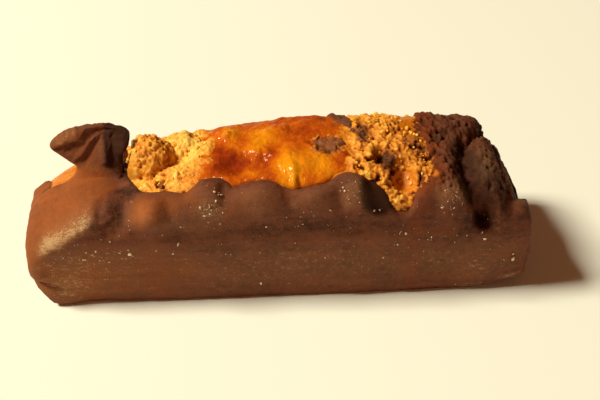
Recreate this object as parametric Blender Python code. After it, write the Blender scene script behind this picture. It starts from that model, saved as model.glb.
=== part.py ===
"""A large biscotti dipped in chocolate, lying on its base.

Two pieces. The biscuit is one twice-baked bar with a slanted left end, a flat base and a top of
crumb lumps, dents and crags. The chocolate coat is one shell over its base, its long sides and its
ends, with a thick uneven rim along the top, a thin skin over the rough right end, and a folded peak
that was pulled up at the left when the bar was dipped.

Both are drawn the same way: sections across the bar are polar curves round one long axis, and
every feature, large or small, is a change of the section's radius.

Metres, +Z up. The origin is at the middle of the base, +X runs along the bar to its right end, and
-Y is the smooth dipped side.
"""
import itertools
import math

import bmesh
import bpy
import numpy as np

MM = 0.001
# The middle of the finished bar in the drawing below, in millimetres. The frame's origin goes there.
MIDDLE = (-2.5, -0.27, 0.0)

# The bar, in millimetres
AXIS_HEIGHT = 13.0          # height of the long axis that the sections turn round
GAP = 0.35                  # between the biscuit and its coat

BISCUIT_LEFT = -59.4
BISCUIT_RIGHT = 54.2
BISCUIT_HALF_DEPTH = 14.3
BISCUIT_FLOOR = 1.9         # level underside, above the coat's
UPPER_POWER = 4.6           # squareness of the sections, above and below the axis
LOWER_POWER = 6.0
END_POWER = 14.0            # squareness of the ends, seen from above

COAT_LEFT = -61.2
COAT_RIGHT = 56.2
COAT_HALF_DEPTH = 16.1
TUCK = 3.0                  # how far the lower rounding would run on below a level underside
COAT_LEAST = 1.2            # thinnest coat on the sides
SKIN = 1.5                  # coat over the rough right end
LIP = 3.2                   # width of the rim's rounded lip
BARE_DEPTH = 1.6            # how far the dip's outline runs under the bare crumb

# Height of the bare top along the bar: (x, z)
CROWN = [
    (-60, 19.0), (-57, 21.0), (-53, 24.0), (-49, 25.4), (-42, 26.2), (-38.5, 25.6), (-33, 27.8),
    (-26, 29.2), (-17, 31.4), (1, 33.9), (18, 34.4), (25, 33.6), (32, 32.6), (38.0, 32.2),
    (43.0, 31.8), (45.6, 30.2), (46.8, 27.6), (48.0, 25.9), (49.5, 25.6), (51.5, 24.0), (55, 20.0),
]
# Height of the coat where it is smooth: (x, z)
COAT_CROWN = [
    (-62, 18.0), (-57.5, 21.4), (-53, 25.0), (-49, 26.7), (-42, 27.0), (-36, 28.0), (-26, 31.0),
    (-17, 32.6), (1, 34.4), (20, 34.8), (28, 33.8), (36, 33.4), (42.5, 32.8), (45.6, 30.8), (47.6, 27.8),
    (50, 26.8), (57, 22.5),
]

# Slanted cuts at the ends: (direction outward, distance of the biscuit's cut from the origin, of
# the coat's, and how much further the coat's is down the front)
SLANTS = [
    ((-0.472, -0.289, 0.834), 45.2, 47.0, 0.0),     # the broad facet up to the peak, front left
    ((-0.512, 0.581, 0.632), 44.8, 45.6, 0.0),      # the fall behind it, back left
    ((-0.825, 0.000, -0.565), 44.5, 46.3, 0.0),     # the left foot, tucked in under the end
    ((0.898, 0.000, 0.440), 54.9, 56.4, 1.6),       # the right end, leaning back
    ((0.967, -0.194, 0.166), 56.0, 58.3, 0.0),      # the right end low down
]

# Crumb lumps standing out of the top: (x, y, z, half length, half depth, half height)
LUMPS = [
    (-33.2, 2.3, 27.9, 6.0, 5.5, 5.9),
    (-25.4, 6.0, 26.0, 5.0, 5.2, 5.6),
    (-27.0, -3.5, 25.2, 4.6, 4.4, 4.6),
    (-19.8, 0.5, 27.2, 5.2, 5.4, 4.8),
    (-9.5, 4.0, 25.4, 9.0, 8.0, 6.8),
    (2.2, -3.6, 26.8, 6.6, 6.4, 6.4),
    (13.0, 3.0, 27.4, 9.0, 9.0, 6.6),
    (25.5, 2.5, 28.0, 7.0, 9.0, 6.0),
    (36.5, 3.5, 26.4, 6.4, 8.6, 6.0),
]
# Hollows pressed into the top: (x, y, z, half length, half depth, half height)
HOLLOWS = [
    (-41.2, 3.0, 32.6, 4.7, 9.5, 7.0),
    (-40.2, 10.0, 30.4, 4.1, 9.5, 7.4),
    (-12.5, -4.5, 37.0, 9.0, 6.0, 6.6),
    (23.5, -12.0, 33.5, 3.6, 6.0, 5.0),
    (32.5, -2.0, 38.0, 2.4, 9.0, 5.6),
]
CRAG = 0.75                 # height of the finer crags on the bare top
CRAG_SIZE = 4.2

# The rim of the coat: angle from straight up, in degrees toward -Y, along the bar
FRONT_RIM = [
    (-60, -10), (-56, -7), (-53.5, -3), (-51, 2), (-48, -2), (-46.5, -30), (-44.2, -70), (-40.4, -70),
    (-39.0, -40), (-38.0, 0), (-35.8, 18), (-33.6, 26.5), (-29, 28), (-25, 31), (-23, 27), (-21, 22), (-17.5, 22),
    (-15.4, 25), (-14.0, 29), (-12, 28), (-8, 26.5), (-5, 28), (-3, 31), (0, 32.5), (3, 31.5), (6, 30),
    (9, 25), (11, 23.5), (13, 25), (15.5, 28.5), (18.2, 31), (20.0, 36), (21.2, 43), (22.3, 47),
    (24.2, 47.5), (25.5, 42), (26.5, 35), (28.5, 29), (32, 23), (60, 20),
]
BACK_RIM = [
    (-60, -80), (-48, -76), (-36, -60), (-22, -64), (-8, -56), (5, -62), (18, -56), (30, -61),
    (42, -54), (60, -55),
]
BARE_FROM = -56.0
# Right edge of the bare patch: (angle, x)
BARE_TO = [(-80, 28.4), (-25, 28.6), (-12, 28.8), (5, 29), (14, 29.8), (25, 30), (60, 28)]

# Swellings and dents of the coat: (x, angle, half length, half angle, height)
SWELLS = [
    (-48.0, 30, 9.0, 34, 0.8),
    (-57.0, 17, 3.6, 18, 0.9),
    (-40.8, 46, 4.8, 18, -2.8),
    (-38.4, 31, 3.8, 13, -1.6),
    (-39.8, -22, 4.4, 50, -2.8),
    (-32.4, 48, 4.8, 20, 2.2),
    (-20.0, 31, 4.6, 18, 1.4),
    (-15.6, 33, 2.6, 13, -0.9),
    (-8.0, 37, 6.0, 17, 1.2),
    (-2.0, 40, 2.4, 12, -0.45),
    (4.2, 39, 5.6, 17, 1.1),
    (9.0, 42, 2.4, 12, -0.35),
    (14.0, 38, 5.2, 18, 1.4),
    (19.0, 40, 5.0, 15, -2.4),
    (28.0, 44, 3.0, 20, 0.5),
    (33.2, 46, 2.8, 20, 0.5),
    (53.0, 50, 4.5, 15, 1.0),
    (2.0, 60, 60.0, 12, -0.8),
    (-59.5, 100, 4.6, 12, 1.3),
    (-58.4, 114, 5.4, 5, -2.2),
    (-55.0, 125, 8.0, 10, 1.2),
]
# The deep split near the right end: where it runs, (angle, x), with its width and depth
SPLIT = [(-60, 49.5), (-40, 48.6), (-24, 46.2), (-12, 42.6), (11, 38.6), (26, 37.9), (33, 38.8), (41, 39.8),
         (48, 41.6), (58, 43.0), (68, 44.2)]
SPLIT_WIDTH = 2.6
SPLIT_DEPTH = 3.0
# The pit at the foot of the split: (x, angle, half length, half angle, depth)
PIT = (42.4, 52, 4.8, 20, 1.6)

# The chocolate peak: (share of its height, left edge, right edge, y, z, half thickness)
PEAK = [
    (0.00, -54.0, -35.0, -4.5, 22.0, 4.6),
    (0.18, -51.0, -37.4, -1.5, 26.0, 3.2),
    (0.34, -49.3, -38.8, 0.4, 28.8, 2.3),
    (0.50, -51.8, -38.7, 1.8, 31.0, 2.1),
    (0.66, -54.7, -37.2, 3.2, 33.2, 2.0),
    (0.82, -53.0, -36.9, 4.5, 35.0, 1.8),
    (0.94, -49.6, -38.0, 5.3, 36.1, 1.3),
    (1.00, -46.8, -39.8, 5.6, 36.5, 0.5),
]
FOLD_DEPTH = 0.8
FOLD_STEP = 5.2

# Places of the sections over the length of the bar: (from, to, steps), closer over the right part
RUNS = [(-50.0, 14.0, 29), (14.0, 52.0, 25)]
END_ROWS = 6                # sections over each end
# Steps round a section: (from angle, to angle, steps), fine over the top and the front
STEPS = [(-180, -132, 4), (-132, -110, 3), (-110, -58, 4), (-58, 22, 16), (22, 66, 12), (66, 106, 7),
         (106, 132, 3), (132, 180, 4)]


def hash_unit(cells, seed):
    """A repeatable number from 0 to 1 for each whole-number cell."""
    mixed = cells[..., 0] * 73856093 ^ cells[..., 1] * 19349663 ^ cells[..., 2] * 83492791
    mixed = (mixed ^ seed * 2654435761) & 0xFFFFFFFF
    mixed = ((mixed ^ (mixed >> 15)) * 2246822519) & 0xFFFFFFFF
    mixed = ((mixed ^ (mixed >> 13)) * 3266489917) & 0xFFFFFFFF
    return ((mixed ^ (mixed >> 16)) & 0xFFFFFF) / float(0xFFFFFF)


def noise(points, cell, seed):
    """Smooth lattice noise from -1 to 1 whose bumps are about one cell across."""
    place = points / cell
    base = np.floor(place).astype(np.int64)
    part = place - base
    part = part * part * (3 - 2 * part)
    total = np.zeros(points.shape[:-1])
    for corner in itertools.product((0, 1), repeat=3):
        weight = np.ones(points.shape[:-1])
        for k in range(3):
            weight = weight * (part[..., k] if corner[k] else 1 - part[..., k])
        total += weight * hash_unit(base + np.array(corner), seed)
    return total * 2 - 1


def ease(share):
    """0 to 1 with level ends."""
    share = np.clip(share, 0, 1)
    return share * share * (3 - 2 * share)


def through(stations, place, column=1):
    """A smooth curve through (place, value, ...) stations that never overshoots them."""
    at = np.array([station[0] for station in stations], float)
    value = np.array([station[column] for station in stations], float)
    slope = np.diff(value) / np.diff(at)
    before, after = slope[:-1], slope[1:]
    level = before * after <= 0
    mean = 2 * before * after / np.where(level, 1, before + after)
    tangent = np.concatenate([slope[:1], np.where(level, 0, mean), slope[-1:]])
    place = np.clip(place, at[0], at[-1])
    k = np.clip(np.searchsorted(at, place) - 1, 0, len(at) - 2)
    span = at[k + 1] - at[k]
    t = (place - at[k]) / span
    from_left = (1 + 2 * t) * (1 - t) ** 2 * value[k] + t * (1 - t) ** 2 * span * tangent[k]
    from_right = t * t * (3 - 2 * t) * value[k + 1] + t * t * (t - 1) * span * tangent[k + 1]
    return from_left + from_right


def lesser(a, b, blend):
    """The lesser of two radii, rounded over where they cross."""
    h = np.clip(0.5 + 0.5 * (b - a) / blend, 0, 1)
    return b + (a - b) * h - blend * h * (1 - h)


def greater(a, b, blend):
    """The greater of two radii, rounded where they cross."""
    return -lesser(-a, -b, blend)


def section(across, upright, half_depth, top, base):
    """Radius of a superellipse whose upper and lower halves differ in height."""
    rise = np.where(upright > 0, top - AXIS_HEIGHT, AXIS_HEIGHT - base)
    power = np.where(upright > 0, UPPER_POWER, LOWER_POWER)
    reach = np.abs(across / half_depth) ** power + np.abs(upright / rise) ** power
    return reach ** (-1 / power)


def end_round(x, left, right):
    """Share of the full section at x: 1 along the bar, falling to 0 at its two ends."""
    middle, half = (left + right) / 2, (right - left) / 2
    inside = np.clip(np.abs(x - middle) / half, 0, 1) ** END_POWER
    return (1 - inside) ** (1 / END_POWER)


def plane_cut(x, across, upright, direction, distance):
    """How far from the axis each ray meets a slanted plane."""
    toward = direction[1] * across + direction[2] * upright
    left_over = distance - direction[0] * x - direction[2] * AXIS_HEIGHT
    meets = toward > 0.02
    return np.where(meets, np.maximum(left_over, 0) / np.where(meets, toward, 1), 99.0)


def ray_through(x, across, upright, ball, side):
    """Where each ray leaves (side 1) or enters (side -1) an ellipsoid, running on beside it.

    A ray that points away from the ellipsoid meets nothing.
    """
    cx, cy, cz, rx, ry, rz = ball
    a = (across / ry) ** 2 + (upright / rz) ** 2
    b = across * cy / ry ** 2 + upright * (cz - AXIS_HEIGHT) / rz ** 2
    c = ((x - cx) / rx) ** 2 + (cy / ry) ** 2 + ((cz - AXIS_HEIGHT) / rz) ** 2 - 1
    inside = b * b - a * c
    meeting = (b + side * np.sign(inside) * np.sqrt(np.abs(inside))) / a
    return np.where(b > 0, meeting, -99.0 * side)


def biscuit_radius(x, angle):
    """Distance of the biscuit's surface from the axis, at x and an angle from straight up."""
    across, upright = -np.sin(angle), np.cos(angle)
    top = through(CROWN, x)
    radius = section(across, upright, BISCUIT_HALF_DEPTH, top, BISCUIT_FLOOR - TUCK)
    for ball in LUMPS:
        radius = greater(radius, ray_through(x, across, upright, ball, 1), 1.0)
    for ball in HOLLOWS:
        radius = lesser(radius, ray_through(x, across, upright, ball, -1), 1.2)
    radius = radius * end_round(x, BISCUIT_LEFT, BISCUIT_RIGHT)
    for direction, distance, _, _ in SLANTS:
        cut = plane_cut(x, across, upright, direction, distance)
        radius = lesser(radius, cut, 2.0)
    degrees = np.degrees(angle)
    radius = radius - 0.8 * split_depth(x, degrees)
    points = np.stack([x, radius * across, AXIS_HEIGHT + radius * upright], -1)
    crags = 0.62 * noise(points, CRAG_SIZE, 3) + 0.38 * noise(points, CRAG_SIZE / 2, 4)
    open_crumb = np.maximum(ease(0.2 + bare_inset(x, angle) / 4), rough_end(x, degrees))
    return np.maximum(radius + CRAG * crags * open_crumb, 0)


def bare_inset(x, angle):
    """Distance inside the bare patch of the top, in millimetres; below 0 under the coat."""
    degrees = np.degrees(angle)
    points = np.stack([x, degrees * 0.3, 0 * x], -1)
    wander = 0.8 * noise(points, 5.0, 11)
    per_degree = 0.30
    front = (through(FRONT_RIM, x) - degrees) * per_degree
    back = (degrees - through(BACK_RIM, x)) * per_degree
    ends = np.minimum(x - BARE_FROM, through(BARE_TO, degrees) - x)
    return np.minimum(np.minimum(front, back + wander), ends + wander)


def rough_end(x, degrees):
    """1 over the rough top at the right end, where the coat is a thin skin."""
    along = ease((x - 22) / 5) * ease((53.5 - x) / 2)
    front = ease((43 + 3 * ease((x - 38) / 4) - degrees) / (14 - 7 * ease((x - 42) / 4)))
    return along * front * ease((degrees + 74) / 12)


def patches(marks, x, degrees):
    """Sum of named swellings and dents, each one round and soft."""
    total = 0 * x
    for at, angle, length, spread, height in marks:
        away = ((x - at) / length) ** 2 + ((degrees - angle) / spread) ** 2
        total = total + height * np.clip(1 - away, 0, 1) ** 2
    return total


def split_depth(x, degrees):
    """Depth of the split near the right end, fading out down the front to the pit at its foot."""
    off = (x - through(SPLIT, degrees)) / SPLIT_WIDTH
    run = ease((72 - degrees) / 14) * ease((degrees + 75) / 20)
    return SPLIT_DEPTH * np.exp(-off * off) * run + patches([PIT], x, degrees)


def coat_radius(x, angle):
    """Distance of the dip's outline from the axis: the coat, and under the crumb where it is bare."""
    degrees = np.degrees(angle)
    across, upright = -np.sin(angle), np.cos(angle)
    beneath = biscuit_radius(x, angle)
    smooth = section(across, upright, COAT_HALF_DEPTH, through(COAT_CROWN, x), -TUCK)
    smooth = smooth + patches(SWELLS, x, degrees)
    smooth = smooth * end_round(x, COAT_LEFT, COAT_RIGHT)
    for direction, _, distance, more in SLANTS:
        distance = distance + more * ease((degrees - 37) / 6)
        smooth = lesser(smooth, plane_cut(x, across, upright, direction, distance), 2.0)
    smooth = greater(smooth, beneath + COAT_LEAST, 0.8)
    rough = rough_end(x, degrees)
    coated = smooth - split_depth(x, degrees)
    coated = coated + (beneath + SKIN - coated) * rough
    coated = np.maximum(coated, beneath + COAT_LEAST)
    lip = np.clip(-bare_inset(x, angle) / LIP, 0, 1)
    lip = np.sqrt(1 - (1 - lip) ** 2)
    return np.maximum(beneath - BARE_DEPTH + (coated - beneath + BARE_DEPTH) * lip, 0)


def section_angles():
    """Angles round a section, in radians, from the list of arcs."""
    arcs = [np.linspace(first, last, count, endpoint=False) for first, last, count in STEPS]
    return np.radians(np.concatenate(arcs))


def section_places(left, right):
    """Places along the bar: evenly along its length, then up and over each rounded end."""
    middle = np.concatenate([np.linspace(first, last, count, endpoint=False)
                             for first, last, count in RUNS])
    spread = np.linspace(0, 1, END_ROWS + 1)
    turn = np.linspace(0, math.pi / 2, 2001)
    sides = []
    for tip, edge in ((left, RUNS[0][0]), (right, RUNS[-1][1])):
        x = (left + right) / 2 + (tip - (left + right) / 2) * np.sin(turn) ** (2 / END_POWER)
        share = end_round(x, left, right)
        run = np.concatenate([[0], np.cumsum(np.hypot(np.diff(x), np.diff(share) * 15))])
        start = np.interp(abs(edge), np.abs(x), run)
        sides.append(np.interp(start + (run[-1] - start) * spread, run, x))
    return np.concatenate([sides[0][::-1][:-1], middle, sides[1]])


def closed_mesh(name, rings, first_tip, last_tip):
    """A closed mesh from rings of points, each ring the same length, with a tip at either end."""
    count, around = rings.shape[:2]
    points = (np.concatenate([rings.reshape(-1, 3), [first_tip, last_tip]]) - MIDDLE) * MM
    first, last = count * around, count * around + 1
    faces = []
    for row in range(count - 1):
        for k in range(around):
            a, b = row * around + k, row * around + (k + 1) % around
            faces.append((a, b, b + around, a + around))
    for k in range(around):
        after = (k + 1) % around
        faces.append((first, after, k))
        faces.append((last, (count - 1) * around + k, (count - 1) * around + after))
    mesh = bpy.data.meshes.new(name)
    mesh.from_pydata(points.tolist(), [], faces)
    shape = bmesh.new()
    shape.from_mesh(mesh)
    bmesh.ops.triangulate(shape, faces=shape.faces[:])
    bmesh.ops.recalc_face_normals(shape, faces=shape.faces[:])
    shape.to_mesh(mesh)
    shape.free()
    mesh.shade_smooth()
    mesh.set_sharp_from_angle(angle=math.radians(50))
    return mesh


def add_object(name, mesh, material=None):
    """Link a mesh as an object."""
    piece = bpy.data.objects.new(name, mesh)
    bpy.context.scene.collection.objects.link(piece)
    if material:
        mesh.materials.append(material)
    return piece


def body(name, left, right, radius_at, floor_at):
    """A bar whose sections follow radius_at, cut level underneath."""
    places = section_places(left, right)
    x, angle = np.meshgrid(places[1:-1], section_angles(), indexing="ij")
    radius = radius_at(x, angle)
    y, z = -radius * np.sin(angle), AXIS_HEIGHT + radius * np.cos(angle)
    z = np.maximum(z, floor_at(x, y))
    rings = np.stack([x, y, z], -1)
    return closed_mesh(name, rings, (left, 0, AXIS_HEIGHT), (right, 0, AXIS_HEIGHT))


def biscuit_floor(x, y):
    """The underside of the biscuit, level but for the lifted corner."""
    return BISCUIT_FLOOR + 0.8 * coat_floor(x, y)


def coat_floor(x, y):
    """The floor under the coat: level, and lifted a little under the front right corner."""
    return 3.2 * ease((x - 38) / 18) * ease((-y - 2) / 11)


def peak_mesh(name):
    """The folded peak: flattened rings up its height, their front pleated on a slant."""
    heights = np.linspace(0, 1, 20)
    turn = np.linspace(0, 2 * math.pi, 24, endpoint=False)
    share, turn = np.meshgrid(heights[:-1], turn, indexing="ij")
    left, right, y0, z0, thick = (through(PEAK, share, k) for k in range(1, 6))
    across = np.sign(np.cos(turn)) * np.abs(np.cos(turn)) ** 0.8
    x = (left + right) / 2 + (right - left) / 2 * across
    pleat = np.cos(2 * math.pi * (x - 0.8 * (z0 - 30)) / FOLD_STEP)
    amount = FOLD_DEPTH * ease((share - 0.42) / 0.2) * ease((1.0 - share) / 0.25)
    depth = thick * np.sin(turn) - amount * pleat * (1 - np.abs(across) ** 3)
    curl = 2.2 * ease((np.abs(across) - 0.2) / 0.8) * ease((share - 0.4) / 0.3)
    y = y0 + depth * 0.88 - curl * 0.6
    z = z0 + depth * 0.45 + curl * 0.2
    rings = np.stack([x, y, z], -1)
    first_tip = rings[0].mean(axis=0)
    last_tip = rings[-1].mean(axis=0) + np.array([0, 0.1, 0.25])
    return closed_mesh(name, rings, first_tip, last_tip)


def principled(name, color, roughness):
    """A plain material of one colour."""
    material = bpy.data.materials.new(name)
    material.use_nodes = True
    shader = material.node_tree.nodes["Principled BSDF"]
    shader.inputs["Base Color"].default_value = (*color, 1.0)
    shader.inputs["Roughness"].default_value = roughness
    shader.inputs["Metallic"].default_value = 0.0
    material.diffuse_color = (*color, 1.0)
    return material


def boolean(piece, helper, operation):
    """Join or cut a piece with a helper that isn't part of the result."""
    cut = piece.modifiers.new(f"{operation.lower()}_{helper.name}", "BOOLEAN")
    cut.object = helper
    cut.operation = operation
    cut.solver = "EXACT"
    helper.hide_render = True
    helper.display_type = "WIRE"


def build():
    """Make the biscuit and its coat."""
    crumb = principled("baked_crumb", (0.62, 0.30, 0.07), 0.7)
    chocolate = principled("milk_chocolate", (0.10, 0.045, 0.022), 0.38)

    biscuit = body("biscuit", BISCUIT_LEFT, BISCUIT_RIGHT, biscuit_radius, biscuit_floor)
    add_object("biscuit", biscuit, crumb)

    dip = body("chocolate_coat", COAT_LEFT, COAT_RIGHT, coat_radius, coat_floor)
    coat = add_object("chocolate_coat", dip, chocolate)

    peak = add_object("peak_helper", peak_mesh("peak_helper"), chocolate)
    hollow = add_object("hollow_helper", biscuit.copy())
    clear = hollow.modifiers.new("clearance", "DISPLACE")
    clear.direction = "NORMAL"
    clear.mid_level = 0.0
    clear.strength = GAP * MM
    boolean(coat, peak, "UNION")
    boolean(coat, hollow, "DIFFERENCE")


def clear_scene():
    """Remove every object of the open scene."""
    for piece in list(bpy.data.objects):
        bpy.data.objects.remove(piece, do_unlink=True)


clear_scene()
build()
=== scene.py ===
"""A large biscotti dipped in chocolate, dressed over its plain solids.

The bar is drawn in millimetres as curves round one long axis, and every feature is a change of the
distance from that axis. The pieces are the baked crumb, the amber glaze on its top, the chocolate
coat, the peak that was pulled up at its left end, two smears of chocolate, loose crumbs, and pale
chips on the coat. The stage is a pale floor with soft light.
"""

import itertools
import math

import bpy
import numpy as np
from mathutils import Matrix


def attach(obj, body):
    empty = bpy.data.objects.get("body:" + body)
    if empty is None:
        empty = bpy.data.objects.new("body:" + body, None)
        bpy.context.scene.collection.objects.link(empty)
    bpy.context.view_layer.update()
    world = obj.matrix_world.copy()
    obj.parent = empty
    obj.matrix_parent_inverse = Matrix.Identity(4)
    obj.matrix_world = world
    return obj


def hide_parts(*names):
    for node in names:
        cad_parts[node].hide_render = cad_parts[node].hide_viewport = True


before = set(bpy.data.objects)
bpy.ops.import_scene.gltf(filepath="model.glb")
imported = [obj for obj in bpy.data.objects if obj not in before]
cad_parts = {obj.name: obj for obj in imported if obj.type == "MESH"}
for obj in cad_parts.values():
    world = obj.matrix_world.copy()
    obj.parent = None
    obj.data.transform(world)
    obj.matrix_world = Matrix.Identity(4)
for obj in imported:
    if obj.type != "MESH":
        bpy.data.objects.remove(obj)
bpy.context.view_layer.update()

bl_info = {
    "name": "Chocolate-dipped biscotti",
    "version": (1, 0, 0),
    "blender": (4, 5, 0),
    "location": "View3D > Sidebar > Biscotti",
    "description": "Dresses the biscotti's solids with crumb, glaze and chocolate",
    "category": "Add Mesh",
}

MM = 0.001
# The stage, in metres: half the floor, the places of the lights, and what they face
FLOOR_HALF = 1.5
KEY_PLACE, FILL_PLACE, BAR_MIDDLE = (-1.30, 0.09, 1.45), (-0.15, -1.0, 0.16), (0, 0, 0.015)
FILL_SIZE, FILL_COLOR = 0.3, (1.0, 0.72, 0.48)
# The middle of the bar in the drawing below, in millimetres. The frame's origin is there.
MIDDLE = np.array((-2.5, -0.27, 0.0))
# Height of the long axis that every section is drawn round
AXIS_HEIGHT = 13.0

# ---------------------------------------------------------------- the drawing, in millimetres

# Each section is drawn down to TUCK below its underside and cut off level there
BISCUIT_LEFT, BISCUIT_RIGHT = -59.4, 54.8
BISCUIT_HALF_DEPTH, BISCUIT_FLOOR = 14.3, 1.9
COAT_LEFT, COAT_RIGHT = -61.2, 56.2
COAT_HALF_DEPTH, TUCK = 16.1, 3.0
# How square the sections are above and below the axis, and the ends
UPPER_POWER, LOWER_POWER, END_POWER = 4.6, 6.0, 14.0
# Thickness of the coat: at least, and over the rough end
COAT_LEAST, SKIN = 1.0, 1.2
# Width of the rim, and how deep the coat lies under the bare top
LIP, BARE_DEPTH = 3.2, 1.6
# Millimetres along the surface for each degree: near the rim, and on the top
RIM_DEGREE, TOP_DEGREE = 0.30, 0.33
# Rows of points over each end of the bar, and about how far they lie from the axis
END_ROWS, END_REACH = 24, 15
# Widths over which radii are blended: at the lumps, the hollows, the slanted cuts and the coat
LUMP_BLEND, HOLLOW_BLEND, CUT_BLEND, COAT_BLEND = 1.0, 1.2, 2.0, 0.8
# A radius beyond every surface
FAR = 99.0
# Small steps along a surface, in millimetres, and around it, in radians, that give its slope
STEP_ALONG, STEP_AROUND = 0.2, 0.01
# The peak: its height, the share of it where the head starts above the neck, and its grid
PEAK_TALL, HEAD_FROM = 16, 0.34
HEAD_ROWS, NECK_ROWS, PEAK_AROUND = 109, 39, 190

# Height of the bare top along the bar: (x, z)
CROWN = [
    (-60, 19), (-57, 21), (-53, 24), (-49, 25.4), (-42, 26.2), (-38.5, 25.6), (-33, 27.8),
    (-26, 29.2), (-17, 31.4), (1, 33.9), (18, 34.4), (25, 33.6), (32, 32.6), (38, 32.2),
    (43, 31.8), (45.6, 30.2), (46.8, 27.6), (48, 25.9), (49.5, 25.6), (51.5, 24), (55, 20),
]
# Height of the coat where it is smooth: (x, z)
COAT_CROWN = [
    (-62, 18), (-57.5, 21.4), (-53, 25), (-49, 26.7), (-42, 27), (-36, 28), (-26, 31), (-17, 32.6),
    (1, 34.4), (20, 34.8), (28, 33.8), (36, 33.4), (42.5, 32.8), (45.6, 30.8), (47.6, 27.8),
    (50, 26.8), (57, 22.5),
]
# Slanted cuts at the ends: (direction outward, distance of the biscuit's cut, of the coat's, and
# how much further the coat's is down the front)
SLANTS = [
    ((-0.472, -0.289, 0.834), 45.2, 47.0, 0.0),
    ((-0.512, 0.581, 0.632), 44.8, 45.6, 0.0),
    ((-0.825, 0.000, -0.565), 44.5, 46.3, 0.0),
    ((0.898, 0.000, 0.440), 55.2, 55.8, 2.2),
    ((0.967, -0.194, 0.166), 56.4, 58.3, 0.0),
]
# Crumb lumps standing out of the top: (x, y, z, half length, half depth, half height)
LUMPS = [
    (-33.2, 2.3, 27.9, 6, 5.5, 5.9), (-25.4, 6, 26, 5, 5.2, 5.6), (-27, -3.5, 25.2, 4.6, 4.4, 4.6),
    (-19.8, 0.5, 27.2, 5.2, 5.4, 4.8), (-9.5, 4, 25.4, 9, 8, 6.8),
    (2.2, -3.6, 26.8, 6.6, 6.4, 6.4), (13, 3, 27.4, 9, 9, 6.6), (25.5, 2.5, 28, 7, 9, 6),
    (36.5, 3.5, 26.4, 6.4, 8.6, 6), (49.4, 2.5, 17, 6, 8.5, 10.6),
]
# Hollows pressed into the top: (x, y, z, half length, half depth, half height)
HOLLOWS = [
    (-41.2, 3, 32.6, 4.7, 9.5, 7), (-40.2, 10, 30.4, 4.1, 9.5, 7.4), (-12.5, -4.5, 37, 9, 6, 6.6),
    (23.5, -12, 33.5, 3.6, 6, 5), (19, -5.4, 35.6, 2.6, 3.4, 4.2), (32.5, -2, 38, 2.4, 9, 5.6),
]
# The coat's rim: angle from straight up, in degrees toward the front, along the bar
FRONT_RIM = [
    (-60, -10), (-56, -7), (-53.5, -3), (-51, 2), (-48, -2), (-46.5, -30), (-44.2, -70),
    (-40.4, -70), (-39, -40), (-38, 0), (-35.8, 18), (-33.6, 26.5), (-29, 28), (-25, 31),
    (-23, 27), (-21, 22), (-17.5, 22), (-15.4, 25), (-14, 29), (-12, 28), (-8, 26.5), (-5, 28),
    (-3, 31), (0, 32.5), (3, 31.5), (6, 30), (9, 25), (11, 23.5), (13, 25), (15.5, 28.5),
    (18.2, 31), (20, 36), (21.2, 43), (22.3, 47), (24.2, 47.5), (25.5, 42), (26.5, 35), (28.5, 29),
    (32, 23), (60, 20),
]
BACK_RIM = [
    (-60, -80), (-48, -76), (-36, -60), (-22, -64), (-8, -56), (5, -62), (18, -56), (30, -61),
    (42, -54), (60, -55),
]
# Left edge of the bare patch
BARE_FROM = -56.0
# Right edge of the bare patch: (angle, x)
BARE_TO = [(-80, 28.4), (-25, 28.6), (-12, 28.8), (5, 29), (14, 29.8), (25, 30), (60, 28)]
# Swellings and dents of the coat: (x, angle, half length, half angle, height)
SWELLS = [
    (-48, 30, 9, 34, 0.8), (-57.2, 15, 4, 20, 1.4), (-40.8, 45, 5.2, 20, -2.8),
    (-38.4, 31, 3.8, 13, -1.6), (-39.8, -22, 4.4, 50, -2.8), (-32.4, 48, 4.8, 20, 2.2),
    (-20, 31, 4.6, 18, 1.4), (-15.6, 33, 2.6, 13, -0.9), (-8, 37, 6, 17, 1.2),
    (-2, 40, 2.4, 12, -0.45), (4.2, 39, 5.6, 17, 1.1), (9, 42, 2.4, 12, -0.35),
    (14, 38, 5.2, 18, 1.4), (18.8, 38, 5.2, 15, -3.8), (28, 44, 3, 20, 0.5),
    (33.2, 46, 2.8, 20, 0.5), (53, 50, 4.5, 15, 1), (2, 60, 60, 12, -0.8),
    (-59.5, 100, 4.6, 12, 1.3), (-58.4, 114, 5.4, 5, -2.2), (-55, 125, 8, 10, 1.2),
]
# The deep split near the right end: (angle, x)
SPLIT = [
    (-60, 49.5), (-40, 48.6), (-24, 46.2), (-12, 42.6), (11, 38.6), (26, 37.9), (33, 38.8),
    (41, 39.8), (48, 41.6), (58, 43), (68, 44.2),
]
SPLIT_WIDTH, SPLIT_DEPTH = 2.0, 3.6
# The pit at the foot of the split: (x, angle, half length, half angle, depth)
PIT = (42.4, 52, 3.4, 17, 3.6)

# The peak: (share of its height, left edge, right edge, y, z, half thickness)
PEAK = [
    (0, -54, -35, -4.5, 22, 4.6), (0.18, -51, -37.4, -1.5, 26, 3.2),
    (0.34, -49.3, -38.8, 0.4, 28.8, 2.3), (0.5, -51.8, -38.7, 1.8, 31, 2.1),
    (0.66, -54.7, -37.2, 3.2, 33.2, 2), (0.82, -53, -36.9, 4.5, 35, 1.8),
    (0.94, -49.6, -38, 5.3, 36.1, 1.3), (1, -46.8, -39.8, 5.6, 36.5, 0.5),
]
# Where the neck of the peak runs out over the coat: (turn from +X toward +Y, x, angle)
NECK_FOOT = [
    (0, -37.8, 4), (45, -39.4, -11), (90, -44, -18), (135, -50, -13), (180, -54.6, 3),
    (225, -53.2, 24), (270, -47, 35), (315, -41.4, 21), (360, -37.8, 4),
]
# The middle of the neck's foot: (x, angle)
NECK_MIDDLE = (-45, 8)
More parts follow.
